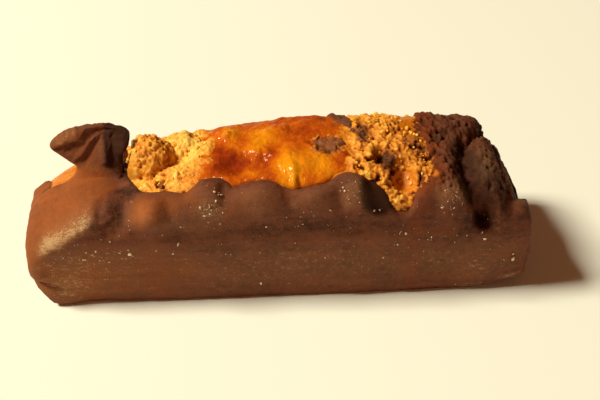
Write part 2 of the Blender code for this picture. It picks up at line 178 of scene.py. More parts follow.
# Ridges and creases of the peak: (x, share) at one end, (x, share) at the other, height, and its
# width on the left of the line and on the right
FOLDS = [
    ((-54.6, 0.74), (-47, 0.97), 1.1, 1.5, 1.3), ((-54, 0.62), (-48.6, 0.84), -1, 0.9, 1),
    ((-51.4, 0.62), (-46.6, 0.98), -0.7, 0.35, 0.5), ((-49.6, 0.54), (-44.6, 0.94), 0.6, 0.5, 0.5),
    ((-47.4, 0.52), (-42.8, 0.9), -1.5, 0.6, 0.9), ((-42.2, 0.5), (-42.5, 0.86), 0.9, 1.4, 0.25),
    ((-41.2, 0.44), (-40.8, 0.9), -1.3, 0.5, 1.4), ((-38.6, 0.4), (-38, 0.84), 0.6, 0.7, 1.2),
]

# Where the glaze lies: its left and right edge (angle, x)
GLAZE_LEFT = [(-75, -24.5), (-25, -21), (-12, -20), (5, -20.6), (14, -22), (22, -24), (40, -27)]
GLAZE_RIGHT = [(-75, 12), (-30, 13.5), (-20, 13.5), (-12, 14), (8, 14), (18, 13.5), (40, 15)]
# Bulges and pools of the glaze: (x, angle, half length, half angle, depth of colour, height)
GLAZE_TONES = [
    (-7.2, -8, 5.4, 20, -0.6, 0.3), (-14.9, -14, 4.4, 17, -0.4, 0.3),
    (-14.4, -17, 2.8, 10, 0, 0.8), (-15.3, -14, 1.4, 5, 0, 0.7), (-1.8, 20, 4.6, 25, -1, 0.4),
    (-0.8, 23, 1.7, 8, 0, 0.6), (-0.8, 31, 1.3, 6, 0, 0.9), (4.8, 19, 8, 20, -0.6, 0.2),
    (-10, 22, 3.6, 9, -0.4, 0.1), (-17, -6, 3.6, 14, 0.4, 0), (-14.7, 12, 8, 15, 0.75, 0),
    (-8, 13, 2.6, 14, 0.45, 0), (-9.6, 7, 4, 12, 0, 0.5), (-5.3, 8, 3, 10, 0.4, 0),
    (3.8, -15, 10, 14, 0.2, 0.1), (10.5, 16, 4, 11, 0.4, 0),
]
# Where the glaze ripples more, where the crumb stands through it, and a spot where the coat is a
# film: (x, angle, half length, half angle, share)
RIPPLED, BALD, FILM = [(-8.5, 6, 5, 14, 1)], [(7.5, 4, 6.4, 14, 1.3)], [(30.8, 28, 1.6, 5, 1)]
# Where glaze has soaked into the bare crumb: (x, angle, half length, half angle, share)
SOAKED = [
    (-37.4, 2, 3, 34, 0.8), (-17.6, 26, 4, 8, 0.8), (-23, 20, 4, 9, 0.6), (26.8, -16, 3, 22, 2),
    (24.4, 30, 3.2, 11, 2),
]
# Tones of the bare crumb: toasting, with painted shade in a hollow and in the crevice beside the
# ball, and painted light on the ball's left side: (x, angle, half length, half angle, from -1 pale
# to 1 dark)
TOAST_AND_PAINTED_LIGHT = [
    (-31, 0, 5, 24, 0.5), (-37.4, 2, 2.8, 30, -0.9), (-24.2, -11, 8, 24, -1.1),
    (-26.8, 15, 6, 17, -0.9), (-22, 15, 4, 11, 0.2), (25, 4, 14, 64, 0.62), (-29, 10, 2, 18, 0.6),
    (7.3, 5, 6, 14, 2.4), (14.5, -18, 3, 10, 0.6), (16, -5, 3, 12, 0.8), (19.8, 17, 3.4, 11, 3.4),
    (15.6, -4, 2, 14, 1.6), (14.5, 10, 3, 12, 0.4), (25.5, -12, 3.5, 24, 0.6),
    (22.5, 34, 4, 16, -0.2), (28.5, 0, 3.6, 40, 0.9),
]
# The ridge below the left facet: (x, angle)
RIDGE = [
    (-62, 96), (-59.5, 90), (-57.5, 81), (-56, 75), (-52.6, 69), (-49, 61), (-45.5, 55),
    (-41.2, 48), (-38, 44),
]
# Right edge of the left facet: (angle, x)
FACET_RIGHT = [
    (-60, -42), (0, -41), (12, -38), (19, -36.6), (25, -38.8), (33, -41), (48, -44), (62, -46),
]
# Painted shade and painted light on the coat, with some tone: darker in the notch, the valley,
# the split's left wall, beside the peak and at the right end, paler on the lit bulge, the rim and
# the knob at the left: (x, angle, half length, half angle, change)
PAINTED_LIGHT_AND_SHADE = [
    (-52, 112, 10, 22, 0.4), (41.5, 50, 3.5, 14, 0.9), (18.4, 38, 6.6, 16, -3.8),
    (-39.4, 42, 5.6, 18, -0.45), (-41, 20, 4, 14, -0.35), (-37, 28, 3.6, 11, -0.6),
    (-34.2, 45, 5.6, 16, 1.2), (-41, 12, 5, 16, -0.3), (-48, 2, 7, 20, 0.5),
    (-38.2, -14, 3.6, 34, -1.2), (-56.6, 18, 3.4, 12, 0.3), (42, 46, 8, 36, -0.9),
    (38, 18, 4.4, 26, -2.2), (51, 62, 9, 28, -0.3), (4, 59, 40, 11, -0.35),
    (-16, 38, 16, 14, 0.25), (-44, 100, 34, 40, 0.6), (-28, 40, 10, 16, 0.4),
]
# Dusty places on the coat: (x, angle, half length, half angle, strength)
BLOOM = [
    (-52, 80, 12, 24, 1), (-19.3, 43, 5, 12, 1.9), (-24, 54, 14, 14, 1.2), (-8, 43, 9, 12, 1.1),
    (4, 44, 9, 12, 0.9), (12, 40, 5, 12, 1.4), (34, 40, 6, 14, 1.6), (-38, 78, 10, 14, 0.7),
    (44, 112, 12, 16, 0.8), (-34.4, 48, 5.6, 15, 0.9), (-54, 114, 10, 20, 1.2),
    (-50, 104, 20, 46, 1), (0, 98, 80, 50, 1.5), (46, 96, 22, 30, 0.6), (50.5, 20, 5.5, 38, 3),
    (44, 20, 5, 24, 1.6), (52, 121, 5, 5, 2.2), (42, 128, 7, 6, 1.8),
]
# Larger chips on the coat: (x, angle, size)
CHIPS = [
    (-37.6, 78, 0.62), (-36.8, 80, 0.3), (-26.7, 69, 0.5), (-8.2, 116, 0.42), (43.2, 75, 0.5),
    (51.2, 101, 0.55), (49, 101, 0.3), (-19.5, 42, 0.24), (-21, 46, 0.2), (-18.4, 45, 0.2),
    (-17.6, 50, 0.22), (10.1, 37, 0.22), (10.8, 40, 0.2), (-28, 79, 0.3), (20, 92, 0.3),
    (-45, 74, 0.28), (34, 88, 0.25),
]
# Where specks lie close together: (x, angle, half length, half angle, how many)
CLUSTERS = [
    (-19.3, 44, 3.6, 10, 40), (12, 38, 2.6, 8, 12), (-52, 64, 7, 9, 14), (-42, 58, 6, 9, 26),
    (-36.8, 79, 4, 4, 8), (-46, 80, 8, 8, 18), (9.5, 38, 3, 7, 6), (34, 44, 4, 8, 14),
    (50.5, 100, 4, 5, 6), (43, 127, 7, 6, 14), (-4, 54, 16, 9, 22), (26, 70, 12, 8, 12),
    (50, 30, 3, 14, 16), (34, 38, 3, 10, 24),
]


def hash_unit(cells, seed):
    """A repeatable number from 0 to 1 for each whole-number cell."""
    mixed = cells[..., 0] * 73856093 ^ cells[..., 1] * 19349663 ^ cells[..., 2] * 83492791
    mixed = (mixed ^ seed * 2654435761) & 0xFFFFFFFF
    mixed = ((mixed ^ (mixed >> 15)) * 2246822519) & 0xFFFFFFFF
    mixed = ((mixed ^ (mixed >> 13)) * 3266489917) & 0xFFFFFFFF
    return ((mixed ^ (mixed >> 16)) & 0xFFFFFF) / float(0xFFFFFF)


def noise(points, cell, seed):
    """Smooth lattice noise from -1 to 1: the eight corner values of each cell, eased together."""
    place = points / cell
    base = np.floor(place).astype(np.int64)
    part = place - base
    part = part * part * (3 - 2 * part)
    total = np.zeros(points.shape[:-1])
    for corner in itertools.product((0, 1), repeat=3):
        weight = np.ones(points.shape[:-1])
        for k in range(3):
            weight = weight * (part[..., k] if corner[k] else 1 - part[..., k])
        total += weight * hash_unit(base + np.array(corner), seed)
    return total * 2 - 1


def layers(points, *waves):
    """Sum of noises, each (height, cell, seed)."""
    return sum(height * noise(points, cell, seed) for height, cell, seed in waves)


def grains(points, cell, seed):
    """Distance, in cells, to the nearest of the centres scattered one to a cell, and its number."""
    place = points / cell
    base = np.floor(place).astype(np.int64)
    near = np.full(points.shape[:-1], 9.0)
    number = np.zeros(points.shape[:-1])
    for step in itertools.product((-1, 0, 1), repeat=3):
        cube = base + np.array(step)
        centre = cube + np.stack([hash_unit(cube, seed + k) for k in range(3)], -1)
        away = np.sqrt(((place - centre) ** 2).sum(-1))
        number = np.where(away < near, hash_unit(cube, seed + 3), number)
        near = np.minimum(near, away)
    return near, number


def ease(share):
    """0 to 1 with level ends: three times the square less twice the cube."""
    share = np.clip(share, 0, 1)
    return share * share * (3 - 2 * share)


def between(place, start, rise, end, fall):
    """1 from start to end: it eases up over a length after start, and down before end."""
    return ease((place - start) / rise) * ease((end - place) / fall)


def bell(off, before, after):
    """1 at the middle, and the exponential of minus the square of the widths away from it."""
    return np.exp(-(off / np.where(off < 0, before, after)) ** 2)


def through(stations, place, column=1):
    """A smooth curve through (place, value, ...) stations that never overshoots them."""
    at = np.array([station[0] for station in stations], float)
    value = np.array([station[column] for station in stations], float)
    slope = np.diff(value) / np.diff(at)
    before, after = slope[:-1], slope[1:]
    level = before * after <= 0
    mean = 2 * before * after / np.where(level, 1, before + after)
    tangent = np.concatenate([slope[:1], np.where(level, 0, mean), slope[-1:]])
    place = np.clip(place, at[0], at[-1])
    k = np.clip(np.searchsorted(at, place) - 1, 0, len(at) - 2)
    span = at[k + 1] - at[k]
    t = (place - at[k]) / span
    from_left = (1 + 2 * t) * (1 - t) ** 2 * value[k] + t * (1 - t) ** 2 * span * tangent[k]
    from_right = t * t * (3 - 2 * t) * value[k + 1] + t * t * (t - 1) * span * tangent[k + 1]
    return from_left + from_right


def lesser(a, b, blend):
    """The lesser of two radii, rounded over where they cross."""
    h = np.clip(0.5 + 0.5 * (b - a) / blend, 0, 1)
    return b + (a - b) * h - blend * h * (1 - h)


def greater(a, b, blend):
    """The greater of two radii, rounded where they cross."""
    return -lesser(-a, -b, blend)


def patches(marks, x, degrees, column):
    """Sum of soft round patches: each is its height times the square of 1 less distance squared."""
    total = 0 * x
    for mark in marks:
        away = ((x - mark[0]) / mark[2]) ** 2 + ((degrees - mark[1]) / mark[3]) ** 2
        total = total + mark[column] * np.clip(1 - away, 0, 1) ** 2
    return total


def section(across, upright, half_depth, top, base):
    """Radius of a superellipse whose upper and lower halves differ in height."""
    rise = np.where(upright > 0, top - AXIS_HEIGHT, AXIS_HEIGHT - base)
    power = np.where(upright > 0, UPPER_POWER, LOWER_POWER)
    reach = np.abs(across / half_depth) ** power + np.abs(upright / rise) ** power
    return reach ** (-1 / power)


def end_round(x, left, right):
    """Share of the full section at x: 1 along the bar, falling to 0 at its two ends."""
    middle, half = (left + right) / 2, (right - left) / 2
    inside = np.clip(np.abs(x - middle) / half, 0, 1) ** END_POWER
    return (1 - inside) ** (1 / END_POWER)


def plane_cut(x, across, upright, direction, distance):
    """How far from the axis each ray meets a slanted plane."""
    toward = direction[1] * across + direction[2] * upright
    left_over = distance - direction[0] * x - direction[2] * AXIS_HEIGHT
    meets = toward > 0.02
    return np.where(meets, np.maximum(left_over, 0) / np.where(meets, toward, 1), FAR)


def ray_through(x, across, upright, ball, side):
    """Where each ray leaves (side 1) or enters (side -1) an ellipsoid, running on beside it."""
    cx, cy, cz, rx, ry, rz = ball
    a = (across / ry) ** 2 + (upright / rz) ** 2
    b = across * cy / ry ** 2 + upright * (cz - AXIS_HEIGHT) / rz ** 2
    c = ((x - cx) / rx) ** 2 + (cy / ry) ** 2 + ((cz - AXIS_HEIGHT) / rz) ** 2 - 1
    inside = b * b - a * c
    meeting = (b + side * np.sign(inside) * np.sqrt(np.abs(inside))) / a
    return np.where(b > 0, meeting, -FAR * side)


def split_depth(x, degrees):
    """Depth of the split near the right end: a bell across it, fading out down the front."""
    across = bell(x - through(SPLIT, degrees), SPLIT_WIDTH, SPLIT_WIDTH)
    run = between(degrees, -75, 20, 72, 14)
    return SPLIT_DEPTH * across * run + patches([PIT], x, degrees, 4)


def rough_end(x, degrees):
    """1 over the rough top at the right end, where the coat is a thin skin."""
    along = between(x, 22, 5, 54.5, 1.5)
    front = ease((43 + 3 * ease((x - 38) / 4) - degrees) / (14 - 7 * ease((x - 42) / 4)))
    return along * front * ease((degrees + 74) / 12)


def flat(x, degrees, scale=TOP_DEGREE):
    """The surface laid flat: x, and the angle times a length for each degree."""
    return np.stack([x, degrees * scale, 0 * x], -1)


def bare_inset(x, angle):
    """Distance inside the bare patch of the top, in millimetres; below 0 under the coat."""
    degrees = np.degrees(angle)
    wander = layers(flat(x, degrees, RIM_DEGREE), (0.8, 5.0, 11), (0.35, 1.7, 12))
    front = (through(FRONT_RIM, x) - degrees) * RIM_DEGREE
    back = (degrees - through(BACK_RIM, x)) * RIM_DEGREE
    ends = np.minimum(x - BARE_FROM, through(BARE_TO, degrees) - x)
    return np.minimum(np.minimum(front, back + wander), ends + wander)


def biscuit_radius(x, angle):
    """The biscuit's distance from the axis: a superellipse with lumps, hollows and cuts."""
    across, upright = -np.sin(angle), np.cos(angle)
    top = through(CROWN, x)
    radius = section(across, upright, BISCUIT_HALF_DEPTH, top, BISCUIT_FLOOR - TUCK)
    for ball in LUMPS:
        radius = greater(radius, ray_through(x, across, upright, ball, 1), LUMP_BLEND)
    for ball in HOLLOWS:
        cut = ray_through(x, across, upright, ball, -1)
        radius = lesser(radius, cut, HOLLOW_BLEND)
    radius = radius * end_round(x, BISCUIT_LEFT, BISCUIT_RIGHT)
    for direction, distance, _, _ in SLANTS:
        radius = lesser(radius, plane_cut(x, across, upright, direction, distance), CUT_BLEND)
    degrees = np.degrees(angle)
    radius = radius - 0.8 * split_depth(x, degrees)
    points = np.stack([x, radius * across, AXIS_HEIGHT + radius * upright], -1)
    crags = layers(points, (0.62, 4.2, 3), (0.38, 2.1, 4))
    open_crumb = np.maximum(ease(0.2 + bare_inset(x, angle) / 4), rough_end(x, degrees))
    return np.maximum(radius + 0.75 * crags * open_crumb, 0)


def coat_radius(x, angle):
    """The coat's distance from the axis: the biscuit's, grown and smoothed, dipping at the rim.

    The rim is a quarter round: its height is the root of 1 less the square of what is left of the
    lip's width.
    """
    degrees = np.degrees(angle)
    across, upright = -np.sin(angle), np.cos(angle)
    beneath = biscuit_radius(x, angle)
    smooth = section(across, upright, COAT_HALF_DEPTH, through(COAT_CROWN, x), -TUCK)
    smooth = smooth + patches(SWELLS, x, degrees, 4)
    smooth = smooth * end_round(x, COAT_LEFT, COAT_RIGHT)
    for direction, _, distance, more in SLANTS:
        distance = distance + more * ease((degrees - 37) / 6)
        smooth = lesser(smooth, plane_cut(x, across, upright, direction, distance), CUT_BLEND)
    smooth = greater(smooth, beneath + COAT_LEAST, COAT_BLEND)
    coated = smooth - split_depth(x, degrees)
    coated = coated + (beneath + SKIN - coated) * rough_end(x, degrees)
    coated = np.maximum(coated, beneath + COAT_LEAST)
    lip = np.clip(-bare_inset(x, angle) / LIP, 0, 1)
    lip = np.sqrt(1 - (1 - lip) ** 2)
    return np.maximum(beneath - BARE_DEPTH + (coated - beneath + BARE_DEPTH) * lip, 0)


def coat_floor(x, y):
    """The floor under the coat: level, and lifted a little under the front right corner."""
    return 3.2 * ease((x - 38) / 18) * ease((-y - 2) / 11)


def biscuit_floor(x, y):
    """The underside of the biscuit, level but for the lifted corner."""
    return BISCUIT_FLOOR + 0.8 * coat_floor(x, y)


def steps(stops):
    """Places one after another: each run (from, to, steps) is evenly divided."""
    return np.concatenate([np.linspace(a, b, n, endpoint=False) for a, b, n in stops])


def places_along(left, right, stops):
    """Places along the bar: the runs of its middle, then even steps up and over each end."""
    middle = steps(stops)
    turn = np.linspace(0, math.pi / 2, 4001)
    sides = []
    for tip, start in ((left, stops[0][0]), (right, stops[-1][1])):
        x = (left + right) / 2 + (tip - (left + right) / 2) * np.sin(turn) ** (2 / END_POWER)
        share = end_round(x, left, right)
        run = np.concatenate([[0], np.cumsum(np.hypot(np.diff(x), np.diff(share) * END_REACH))])
        begin = np.interp(abs(start), np.abs(x), run)
        sides.append(np.interp(np.linspace(begin, run[-1], END_ROWS), run, x))
    return np.concatenate([sides[0][::-1][:-1], middle, sides[1]])


def ring_grid(left, right, along, around):
    """The x and angle of each point of a bar's rings: runs along it, and in degrees around it."""
    places = places_along(left, right, along)[1:-1]
    return np.meshgrid(places, np.radians(steps(around)), indexing="ij")


def point_at(x, angle, radius):
    """The point at x, an angle from straight up toward the front, and a radius."""
    return np.stack([x, -radius * np.sin(angle), AXIS_HEIGHT + radius * np.cos(angle)], -1)


def outward(rings):
    """The direction straight out of each point of a grid of rings, from its neighbours."""
    along = np.gradient(rings, axis=0)
    around = np.roll(rings, -1, axis=1) - np.roll(rings, 1, axis=1)
    out = np.cross(around, along)
    return out / np.maximum(np.linalg.norm(out, axis=-1, keepdims=True), 1e-9)


def ring_faces(rows, around):
    """Faces of a tube of rings, then a fan to a tip at either end."""
    row, k = np.meshgrid(np.arange(rows - 1), np.arange(around), indexing="ij")
    a, b = row * around + k, row * around + (k + 1) % around
    sides = np.stack([a, b, b + around, a + around], -1).reshape(-1, 4)
    k = np.arange(around)
    after = (k + 1) % around
    first, last, base = rows * around, rows * around + 1, (rows - 1) * around
    fans = np.concatenate([
        np.stack([np.full(around, first), after, k], -1),
        np.stack([np.full(around, last), base + k, base + after], -1),
    ])
    return sides.tolist() + fans.tolist()


def tube(rings, tips, **marks):
    """Points, faces and marks of a tube of rings with a tip at either end, marked 0."""
    points = np.concatenate([rings.reshape(-1, 3), tips])
    marks = {name: np.append(values, [0, 0]) for name, values in marks.items()}
    return points, ring_faces(*rings.shape[:2]), marks


def slab(x, angle, radius, thickness, **marks):
    """Points, faces and marks of a slab: a grid, the same grid nearer the axis, and a wall."""
    columns, rows = x.shape
    grid = np.arange(columns * rows).reshape(columns, rows)
    a, b, c, d = grid[:-1, :-1], grid[1:, :-1], grid[1:, 1:], grid[:-1, 1:]
    upper = np.stack([a, d, c, b], -1).reshape(-1, 4)
    count = columns * rows
    loop = np.concatenate([grid[:, 0], grid[-1, 1:], grid[-2::-1, -1], grid[0, -2:0:-1]])
    after = np.roll(loop, -1)
    wall = np.stack([loop, after, after + count, loop + count], -1)
    faces = np.concatenate([upper, upper[:, ::-1] + count, wall]).tolist()
    both = np.stack([point_at(x, angle, radius), point_at(x, angle, radius - thickness)])
    marks = {name: np.tile(np.ravel(values + 0 * x), 2) for name, values in marks.items()}
    return both.reshape(-1, 3), faces, marks


def make_piece(name, shape, material, replaces=()):
    """Put a shape's points, in millimetres, its faces and its marks into a smooth mesh."""
    points, faces, marks = shape
    mesh = bpy.data.meshes.new(name)
    mesh.from_pydata(((points - MIDDLE) * MM).tolist(), [], faces)
    mesh.validate()
    for mark, values in marks.items():
        layer = mesh.attributes.new(mark, "FLOAT", "POINT")
        layer.data.foreach_set("value", np.asarray(values, np.float32))
    mesh.shade_smooth()
    mesh.materials.append(material)
    piece = bpy.data.objects.new(name, mesh)
    bpy.context.scene.collection.objects.link(piece)
    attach(piece, "root")
    if replaces:
        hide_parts(*replaces)


# ---------------------------------------------------------------- shapes

def crumb_relief(points, openness):
    """Height of the crumb over its lumps: bent grains of three sizes, less ragged pores.

    Each grain is a dome whose height falls with the square of the distance from its centre.
    """
    bend = np.stack([noise(points, 1.3, 201 + k) for k in range(3)], -1)
    coarse, which = grains(points + 0.6 * bend, 1.9, 31)
    fine, part = grains(points + 0.3 * bend, 0.75, 41)
    pore = 0.55 * noise(points + 0.5 * bend, 2.3, 51) + 0.45 * noise(points, 1.0, 52)
    height = 1.2 * (0.5 - coarse ** 2) * (0.3 + which) + 0.75 * (0.45 - fine ** 2) * (0.4 + part)
    height = height + 0.2 * noise(points, 0.45, 53)
    return (height - 1.3 * ease((pore - 0.2) / 0.3)) * openness


def glaze_inset(x, degrees):
    """Distance inside the glaze's outline, in millimetres."""
    wander = layers(flat(x, degrees), (0.9, 3.5, 61), (0.5, 1.3, 62))
    left = x - through(GLAZE_LEFT, degrees)
    right = through(GLAZE_RIGHT, degrees) - x
    return np.minimum(left, right) + wander


def biscuit_shape():
    """The biscuit: rings with the crumb's relief pushed straight out, less where it is glazed.

    Where the coat covers its right end it is drawn in by a millimetre.
    """
    x, angle = ring_grid(
        BISCUIT_LEFT, BISCUIT_RIGHT, [(-50, -41, 16), (-41, 32, 312), (32, 50, 22)],
        [(-180, -95, 12), (-95, -66, 10), (-66, 52, 196), (52, 80, 10), (80, 180, 12)])
    degrees = np.degrees(angle)
    covered = ease((x - 42) / 4)
    rings = point_at(x, angle, biscuit_radius(x, angle) - covered)
    rings[..., 2] = np.maximum(rings[..., 2], biscuit_floor(rings[..., 0], rings[..., 1]))
    bare = ease((bare_inset(x, angle) + 2.5) / 2.5)
    glazed = ease((glaze_inset(x, degrees) + 0.2) / 3.0)
    strip = ease((-44 - x) / 3)
    bald = ease(patches(BALD, x, degrees, 4) / 0.8)
    glazed = np.maximum(glazed * (1 - 0.85 * bald), np.minimum(patches(SOAKED, x, degrees, 4), 1))
    openness = bare * (1 - 0.9 * glazed) * (1 - 0.75 * strip)
    soft = 1 - 0.4 * between(x, -30.5, 2, -18, 3)
    relief = crumb_relief(rings, openness * soft)
    rings = rings + outward(rings) * relief[..., None]
    return tube(rings, [[BISCUIT_LEFT, 0, AXIS_HEIGHT], [BISCUIT_RIGHT, 0, AXIS_HEIGHT]],
                relief=relief, glazed=np.maximum(glazed, strip),
                toast=patches(TOAST_AND_PAINTED_LIGHT, x, degrees, 4))


def glaze_shape():
    """The glaze: a thin slab over the top that eases up from its edge, with bulges and ripples."""
    x, degrees = np.meshgrid(np.linspace(-28, 18, 210), np.linspace(-72, 40, 190), indexing="ij")
    angle = np.radians(degrees)
    inset = glaze_inset(x, degrees)
    points = flat(x, degrees)
    edge = 0.5 * ease(inset / 3.5) - 0.3 - 1.6 * ease((-inset - 0.2) / 1.2)
    uneven = layers(points, (0.22, 5.0, 71), (0.14, 2.1, 72))
    broken = 1 + 1.6 * patches(RIPPLED, x, degrees, 4)
    swell = patches(GLAZE_TONES, x, degrees, 5) + uneven + 0.10 * broken * noise(points, 0.9, 75)
    swell = np.maximum(swell + 0.07 * noise(points, 0.45, 76), -0.12)
    bald = patches(BALD, x, degrees, 4) * (1 + 0.4 * noise(points, 1.1, 77))
    hidden = ease(-bare_inset(x, angle) / 2.0)
    radius = biscuit_radius(x, angle) + edge + swell * ease(inset / 2.5) - 1.6 * hidden
    radius = radius - 0.75 * ease((bald - 0.3) / 0.5)
    depth = 0.5 + patches(GLAZE_TONES, x, degrees, 4) - 0.25 * swell
    depth = depth + layers(points, (0.22, 3.0, 73), (0.14, 1.1, 74))
    return slab(x, angle, radius, thickness=1.3, depth=depth)


def ridge_share(x, degrees):
    """1 on the ridge below the left facet, falling to 0 beside it."""
    return bell(degrees - through(RIDGE, x), 9.0, 4.0) * between(x, -58, 3, -39, 3)


def coat_tones(x, degrees):
    """How lit or shaded the coat's colour is painted, and how dusty it is, at each x and angle:
    patches, and the facet's own.
    """
    # Painted light: the left facet, which faces the key light, is painted paler.
    facet = ease((through(FACET_RIGHT, degrees) - x) / (4 + 12 * ease((-50 - degrees) / 30)))
    near = degrees - through(RIDGE, x)
    facet = facet * ease((2 - near) / 5) * ease((degrees + 178) / 50)
    dust = bell(near + 4, 13, 4.5) * between(x, -59, 3, -43, 4)
    return facet + patches(PAINTED_LIGHT_AND_SHADE, x, degrees, 4), 1.2 * dust + 0.4 * patches(BLOOM, x, degrees, 4)


def coat_shape():
    """The coat: rings with crags, ripples along the dip and ridge flakes pushed straight out.

    The crags hold where the coat is a thin skin, and the ripples elsewhere, but not at the neck.
    """
    x, angle = ring_grid(
        COAT_LEFT, COAT_RIGHT, [(-50, 25, 182), (25, 54.6, 118)],
        [(-180, -130, 10), (-130, -88, 20), (-88, -20, 84), (-20, 118, 150), (118, 140, 14),
         (140, 180, 8)])
    degrees = np.degrees(angle)
    rings = point_at(x, angle, coat_radius(x, angle))
    rough = rough_end(x, degrees)
    inset = bare_inset(x, angle)
    calm = 1 - 0.22 * ease((x - 34) / 4)
    crags = np.maximum(crumb_relief(rings, 0.9), -0.85 + 0.6 * ease((x - 44) / 6)) * calm
    stretched = rings * np.array([0.18, 1.0, 1.0])
    ripples = layers(stretched, (0.18, 2.6, 101), (0.10, 1.2, 102))
    broad = layers(rings, (0.28, 6.5, 103), (0.10, 2.6, 104))
    flakes = ridge_share(x, degrees) * (0.35 + layers(rings, (0.45, 1.5, 105), (0.3, 0.8, 106)))
    away = ease((np.hypot((x + 46) / 9, (degrees - 8) / 27) - 1.1) / 0.6)
    relief = crags * rough + (ripples + broad) * (1 - rough) * ease(-inset / 2.0) * away + flakes
    rings = rings + outward(rings) * relief[..., None]
    rings[..., 2] = np.maximum(rings[..., 2], coat_floor(rings[..., 0], rings[..., 1]))
    facet, bloom = coat_tones(x, degrees)
    thin = rough * ease((37 - x) / 7) + 0.5 * between(x, 24, 2, 30.5, 2.5)
    thin = thin + patches(FILM, x, degrees, 4)
    # Painted shade: the rough mark grows in the low pits of the crags, where the coat is painted
    # darker.
    rough = rough * np.clip(0.6 - 0.5 * crags, 0, 1)
    return tube(rings, [[COAT_LEFT, 0, AXIS_HEIGHT], [COAT_RIGHT, 0, AXIS_HEIGHT]],
                bloom=bloom, facet=facet, rough=rough, thin=thin)


def peak_shape():
    """The peak: flattened rings up its height, folded, on a neck that runs out over the coat.

    The neck's curves leave the coat along its surface and meet the first ring going up. Each ridge
    or crease is a bell across a slanted line, with a width of its own on either side.
    """
    turn = np.linspace(0, 2 * math.pi, PEAK_AROUND, endpoint=False)
    shares = np.linspace(HEAD_FROM, 1.0, HEAD_ROWS + 1)[:-1]
    share, angle = np.meshgrid(shares, turn, indexing="ij")
    left, right, y0, z0, thick = (through(PEAK, share, k) for k in range(1, 6))
    across = np.sign(np.cos(angle)) * np.abs(np.cos(angle)) ** 0.8
    x = (left + right) / 2 + (right - left) / 2 * across
    facing = np.sin(angle)
    fold = 0 * x
    for (x1, s1), (x2, s2), height, before, after in FOLDS:
        run, rise = x2 - x1, (s2 - s1) * PEAK_TALL
        over, up = x - x1, (share - s1) * PEAK_TALL
        along = (over * run + up * rise) / (run * run + rise * rise)
        off = (over * rise - up * run) / math.hypot(run, rise)
        fold = fold + height * bell(off, before, after) * between(along, -0.15, 0.3, 1.15, 0.3)
    rim = 1 - np.abs(across) ** 6
    front = ease(0.5 - facing / 0.6)
    curl = 2.4 * ease((np.abs(across) - 0.25) / 0.75) * ease((share - 0.4) / 0.3)
    here = np.stack([x, 0 * x, share * PEAK_TALL], -1)
    wrinkle = layers(here, (0.22, 1.5, 111), (0.14, 0.7, 112))
    depth = thick * facing - fold * rim * front * ease((share - 0.36) / 0.12)
    depth = depth - 0.4 * rim * ease((share - HEAD_FROM) / 0.15)
    depth = depth + wrinkle * rim * ease((share - 0.45) / 0.2)
    y = y0 + depth * 0.88 - curl * 0.6
    ragged = layers(here, (0.3, 1.9, 113), (0.18, 0.8, 114)) * ease((share - 0.7) / 0.2)
    z = z0 + depth * 0.45 + curl * 0.2 + ragged
    head = np.stack([x, y, z], -1)
    foot_x = through(NECK_FOOT, np.degrees(turn), 1)
    foot_angle = np.radians(through(NECK_FOOT, np.degrees(turn), 2))
    foot = point_at(foot_x, foot_angle, coat_radius(foot_x, foot_angle) - 0.2)
    inner_x = 0.8 * foot_x + 0.2 * NECK_MIDDLE[0]
    inner_angle = 0.8 * foot_angle + 0.2 * math.radians(NECK_MIDDLE[1])
    inner = point_at(inner_x, inner_angle, coat_radius(inner_x, inner_angle) + 0.02)
    leave = (inner - foot) * 3.2
    meet = (head[1] - head[0]) / (head[1] - head[0])[..., 2:].mean() * 7.0
    t = np.linspace(0, 1, NECK_ROWS + 1)[:-1, None, None]
    neck = ((1 + 2 * t) * (1 - t) ** 2 * foot + t * (1 - t) ** 2 * leave
            + t * t * (3 - 2 * t) * head[0] + t * t * (t - 1) * meet)
    rings = np.concatenate([neck, head])[:, ::-1]
    tips = [rings[0].mean(axis=0) - (0, 0, 2.0), rings[-1].mean(axis=0) + (0, 0.1, 0.1)]
    x, y, z = np.moveaxis(rings, -1, 0)
    up = np.concatenate([np.zeros(NECK_ROWS), shares])[:, None]
    low, low_bloom = coat_tones(x, np.degrees(np.arctan2(-y, z - AXIS_HEIGHT)))
    # Painted light on the head's upper left lobe and on a band round the neck, which also get more
    # bloom, and painted shade on the head's right side.
    lit = ease((up - 0.66) / 0.16) * ease((-46.5 - x) / 3)
    dark = ease((x + 43.8) / 3.2) * ease((up - HEAD_FROM) / 0.16)
    lifted = ease((up - HEAD_FROM) / 0.1)
    collar = bell(up - 0.40, 0.09, 0.09) * ease((-42.0 - x) / 3)
    facet = low + (0.2 + 0.5 * lit + 1.2 * collar - 2.4 * dark - low) * lifted
    bloom = low_bloom + (0.6 * lit + 0.7 * collar - low_bloom) * lifted
    return tube(rings, tips, bloom=bloom, facet=facet, rough=0 * x, thin=0 * x)


def smear_shape():
    """Two smears of chocolate: a slab that rises as a root of the way in from its two outlines.

    One outline is a streak whose width eases along it, the other an ellipse. Outside them the slab
    is sunk in the crumb.
    """
    x, degrees = np.meshgrid(np.linspace(1, 21, 110), np.linspace(-42, 17, 100), indexing="ij")
    angle = np.radians(degrees)
    points = flat(x, degrees)
    middle = 12.0 + 0.14 * (degrees + 21)
    width = 3.0 - 1.6 * ease((degrees + 26) / 18)
    inset = np.minimum(degrees + 34, -6 - degrees) * TOP_DEGREE
    inset = np.minimum(inset, width - np.abs(x - middle))
    patch = 3.0 * (1 - np.hypot((x - 8.2) / 4.5, (degrees - 3.0) / 8.5))
    dusty = ease(patch / 1.5)
    inset = np.maximum(inset, patch) + layers(points, (0.7, 1.8, 121), (0.4, 0.9, 122))
    radius = biscuit_radius(x, angle) + 1.5 * np.sqrt(ease(inset / 1.6)) - 0.9
    radius = radius + layers(points, (0.3, 1.1, 123), (0.16, 0.6, 124))
    return slab(x, angle, radius, thickness=1.2, bloom=0.1 + 0.5 * dusty, facet=0.7 * dusty,
                rough=0.2, thin=0.7 * dusty)


